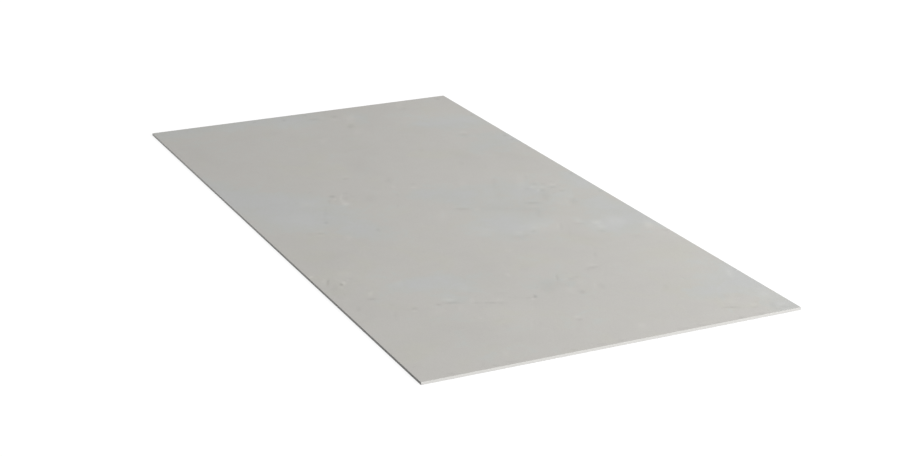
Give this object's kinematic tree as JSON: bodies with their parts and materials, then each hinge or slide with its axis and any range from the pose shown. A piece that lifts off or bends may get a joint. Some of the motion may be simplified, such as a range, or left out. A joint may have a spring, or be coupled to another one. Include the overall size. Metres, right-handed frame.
{
  "type": "wind barrier board",
  "caption": "Flat rectangular fibre cement sheet with square sawn edges, fixed over wall studs to stop wind getting into the insulation.",
  "frame": {"origin": "middle of the back face, which lies on the floor", "axes": "+X across the sheet's width, +Y along its length, +Z from the back face to the front face"},
  "size_m": [1.2, 2.4, 0.008],
  "materials": {
    "fibre_cement": "matte"
  },
  "bodies": {
    "root": {"board": "fibre_cement"}
  },
  "joints": []
}
